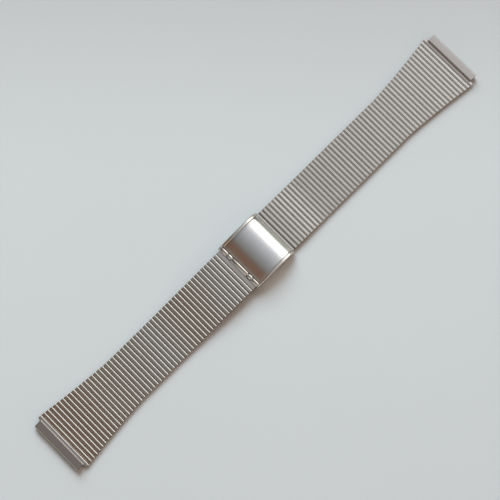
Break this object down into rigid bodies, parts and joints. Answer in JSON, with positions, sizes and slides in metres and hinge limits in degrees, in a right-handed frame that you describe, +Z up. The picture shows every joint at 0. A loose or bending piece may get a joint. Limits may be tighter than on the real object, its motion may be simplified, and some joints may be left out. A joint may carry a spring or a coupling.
{
  "type": "watch band",
  "caption": "Ribbed steel watch band of interlocked rolled slats, laid flat, with a sliding fold-over clasp and rolled lug tubes for spring bars.",
  "frame": {"origin": "on the table under the middle of the band's overall length, on its centre line", "axes": "+X along the band from the strand hinged to the cover towards the strand that slides in the clasp, +Y across the band, +Z up from the table towards the outside of the band"},
  "size_m": [0.1688, 0.0204, 0.0047],
  "materials": {
    "slat_steel": "rolled stainless sheet, satin with polished bends",
    "cover_steel": "stainless steel, finely brushed across the band",
    "frame_steel": "stainless steel, polished rims and satin inner faces",
    "tube_steel": "stainless tube, smooth satin",
    "pin_steel": "drawn stainless wire"
  },
  "bodies": {
    "cover": {"cover_frame": "frame_steel", "cover_plate": "cover_steel", "cover_pin": "pin_steel", "leaf_pin": "pin_steel"},
    "hinge_link": {"hinge_link": "slat_steel"},
    "left_slats_1": {"left_slats_1": "slat_steel"},
    "left_slats_2": {"left_slats_2": "slat_steel"},
    "left_slats_3": {"left_slats_3": "slat_steel"},
    "left_slats_4": {"left_slats_4": "slat_steel"},
    "left_slats_5": {"left_slats_5": "slat_steel"},
    "left_slats_6": {"left_slats_6": "slat_steel"},
    "left_slats_7": {"left_slats_7": "slat_steel"},
    "left_slats_8": {"left_slats_8": "slat_steel"},
    "left_slats_9": {"left_slats_9": "slat_steel"},
    "left_lug_tube": {"left_lug_tube": "tube_steel"},
    "fold_leaf": {"fold_leaf": "frame_steel"},
    "slider": {"slider_body": "frame_steel", "fold_pin": "pin_steel", "lock_pin": "pin_steel"},
    "lock_plate": {"lock_plate": "frame_steel"},
    "tail": {"tail_slats": "slat_steel"},
    "right_slats_1": {"right_slats_1": "slat_steel"},
    "right_slats_2": {"right_slats_2": "slat_steel"},
    "right_slats_3": {"right_slats_3": "slat_steel"},
    "right_slats_4": {"right_slats_4": "slat_steel"},
    "right_slats_5": {"right_slats_5": "slat_steel"},
    "right_slats_6": {"right_slats_6": "slat_steel"},
    "right_slats_7": {"right_slats_7": "slat_steel"},
    "right_slats_8": {"right_slats_8": "slat_steel"},
    "right_slats_9": {"right_slats_9": "slat_steel"},
    "right_lug_tube": {"right_lug_tube": "tube_steel"}
  },
  "joints": [
    {"name": "cover_hinge", "type": "hinge", "parent": "cover", "child": "hinge_link", "pos_m": [-0.00869, 0, 0.00247], "axis": [0, -1, 0], "range_deg": [-15, 40]},
    {"name": "left_bend_1", "type": "hinge", "parent": "hinge_link", "child": "left_slats_1", "pos_m": [-0.01141, 0, 0.00247], "axis": [0, -1, 0], "range_deg": [-5, 16]},
    {"name": "left_bend_2", "type": "hinge", "parent": "left_slats_1", "child": "left_slats_2", "pos_m": [-0.01946, 0, 0.00218], "axis": [0, -1, 0], "range_deg": [-5, 16]},
    {"name": "left_bend_3", "type": "hinge", "parent": "left_slats_2", "child": "left_slats_3", "pos_m": [-0.02749, 0, 0.0015], "axis": [0, -1, 0], "range_deg": [-5, 16]},
    {"name": "left_bend_4", "type": "hinge", "parent": "left_slats_3", "child": "left_slats_4", "pos_m": [-0.03552, 0, 0.00089], "axis": [0, -1, 0], "range_deg": [-5, 16]},
    {"name": "left_bend_5", "type": "hinge", "parent": "left_slats_4", "child": "left_slats_5", "pos_m": [-0.04358, 0, 0.00073], "axis": [0, -1, 0], "range_deg": [-5, 16]},
    {"name": "left_bend_6", "type": "hinge", "parent": "left_slats_5", "child": "left_slats_6", "pos_m": [-0.05163, 0, 0.00073], "axis": [0, -1, 0], "range_deg": [-5, 16]},
    {"name": "left_bend_7", "type": "hinge", "parent": "left_slats_6", "child": "left_slats_7", "pos_m": [-0.05969, 0, 0.00073], "axis": [0, -1, 0], "range_deg": [-5, 16]},
    {"name": "left_bend_8", "type": "hinge", "parent": "left_slats_7", "child": "left_slats_8", "pos_m": [-0.06775, 0, 0.00073], "axis": [0, -1, 0], "range_deg": [-5, 16]},
    {"name": "left_bend_9", "type": "hinge", "parent": "left_slats_8", "child": "left_slats_9", "pos_m": [-0.07447, 0, 0.00073], "axis": [0, -1, 0], "range_deg": [-5, 16]},
    {"name": "left_tube_hinge", "type": "hinge", "parent": "left_slats_9", "child": "left_lug_tube", "pos_m": [-0.08118, 0, 0.00073], "axis": [0, -1, 0], "range_deg": [-10, 20]},
    {"name": "leaf_fold", "type": "hinge", "parent": "cover", "child": "fold_leaf", "pos_m": [0.00409, 0, 0.00244], "axis": [0, -1, 0], "range_deg": [0, 140]},
    {"name": "slider_fold", "type": "hinge", "parent": "fold_leaf", "child": "slider", "pos_m": [-0.00641, 0, 0.00208], "axis": [0, -1, 0], "range_deg": [-140, 0]},
    {"name": "lock_hinge", "type": "hinge", "parent": "slider", "child": "lock_plate", "pos_m": [-0.00671, 0, 0.00045], "axis": [0, 1, 0], "range_deg": [0, 60]},
    {"name": "tail_slide", "type": "slide", "parent": "slider", "child": "tail", "axis": [1, 0, 0], "range_m": [0, 0.008]},
    {"name": "right_bend_1", "type": "hinge", "parent": "tail", "child": "right_slats_1", "pos_m": [0.00866, 0, 0.00109], "axis": [0, 1, 0], "range_deg": [-5, 16]},
    {"name": "right_bend_2", "type": "hinge", "parent": "right_slats_1", "child": "right_slats_2", "pos_m": [0.01672, 0, 0.00087], "axis": [0, 1, 0], "range_deg": [-5, 16]},
    {"name": "right_bend_3", "type": "hinge", "parent": "right_slats_2", "child": "right_slats_3", "pos_m": [0.02477, 0, 0.00073], "axis": [0, 1, 0], "range_deg": [-5, 16]},
    {"name": "right_bend_4", "type": "hinge", "parent": "right_slats_3", "child": "right_slats_4", "pos_m": [0.03283, 0, 0.00073], "axis": [0, 1, 0], "range_deg": [-5, 16]},
    {"name": "right_bend_5", "type": "hinge", "parent": "right_slats_4", "child": "right_slats_5", "pos_m": [0.04089, 0, 0.00073], "axis": [0, 1, 0], "range_deg": [-5, 16]},
    {"name": "right_bend_6", "type": "hinge", "parent": "right_slats_5", "child": "right_slats_6", "pos_m": [0.04895, 0, 0.00073], "axis": [0, 1, 0], "range_deg": [-5, 16]},
    {"name": "right_bend_7", "type": "hinge", "parent": "right_slats_6", "child": "right_slats_7", "pos_m": [0.05701, 0, 0.00073], "axis": [0, 1, 0], "range_deg": [-5, 16]},
    {"name": "right_bend_8", "type": "hinge", "parent": "right_slats_7", "child": "right_slats_8", "pos_m": [0.06506, 0, 0.00073], "axis": [0, 1, 0], "range_deg": [-5, 16]},
    {"name": "right_bend_9", "type": "hinge", "parent": "right_slats_8", "child": "right_slats_9", "pos_m": [0.07312, 0, 0.00073], "axis": [0, 1, 0], "range_deg": [-5, 16]},
    {"name": "right_tube_hinge", "type": "hinge", "parent": "right_slats_9", "child": "right_lug_tube", "pos_m": [0.08118, 0, 0.00073], "axis": [0, 1, 0], "range_deg": [-10, 20]}
  ],
  "couplings": [
    {"joint": "slider_fold", "follows": "leaf_fold", "ratio": -1}
  ]
}
